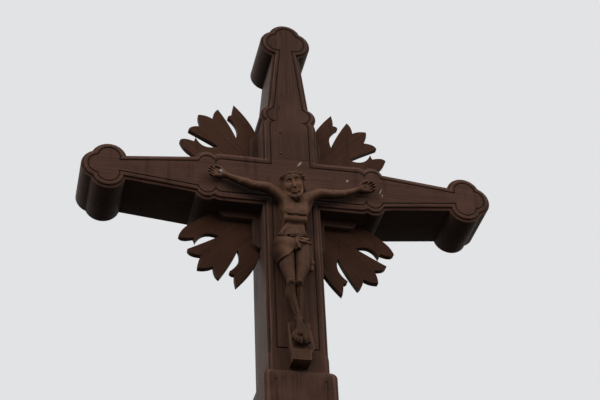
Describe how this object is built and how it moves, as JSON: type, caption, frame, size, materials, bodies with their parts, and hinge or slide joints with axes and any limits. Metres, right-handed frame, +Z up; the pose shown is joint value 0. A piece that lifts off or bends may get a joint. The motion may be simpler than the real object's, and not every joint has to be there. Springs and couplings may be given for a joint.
{
  "type": "wayside cross",
  "caption": "Tall carved timber wayside cross with trefoil arm ends, ray fans in its corners and a carved wooden corpus on a footrest.",
  "frame": {"origin": "middle of the post's foot at ground level", "axes": "+Z up, the front with the corpus faces -Y, the crossbeam lies along X"},
  "size_m": [1.4598, 0.3282, 5.339],
  "materials": {
    "timber": "dark brown weathered stain",
    "fan_board": "dark red-brown stain",
    "figure": "brown stain on carved wood",
    "iron": "rusted forged iron"
  },
  "bodies": {
    "root": {"upright_post": "timber", "crossbeam": "timber", "fan_upper_left": "fan_board", "fan_upper_right": "fan_board", "fan_lower_left": "fan_board", "fan_lower_right": "fan_board", "cleat_upper_left_post": "fan_board", "cleat_upper_left_beam": "fan_board", "cleat_upper_right_post": "fan_board", "cleat_upper_right_beam": "fan_board", "cleat_lower_left_post": "fan_board", "cleat_lower_left_beam": "fan_board", "cleat_lower_right_post": "fan_board", "cleat_lower_right_beam": "fan_board", "corpus_body": "figure", "corpus_left_arm": "figure", "corpus_right_arm": "figure", "crown_of_thorns": "figure", "footrest": "figure", "left_hand_nail": "iron", "right_hand_nail": "iron", "foot_nail": "iron", "title_board_nails": "iron"}
  },
  "joints": []
}
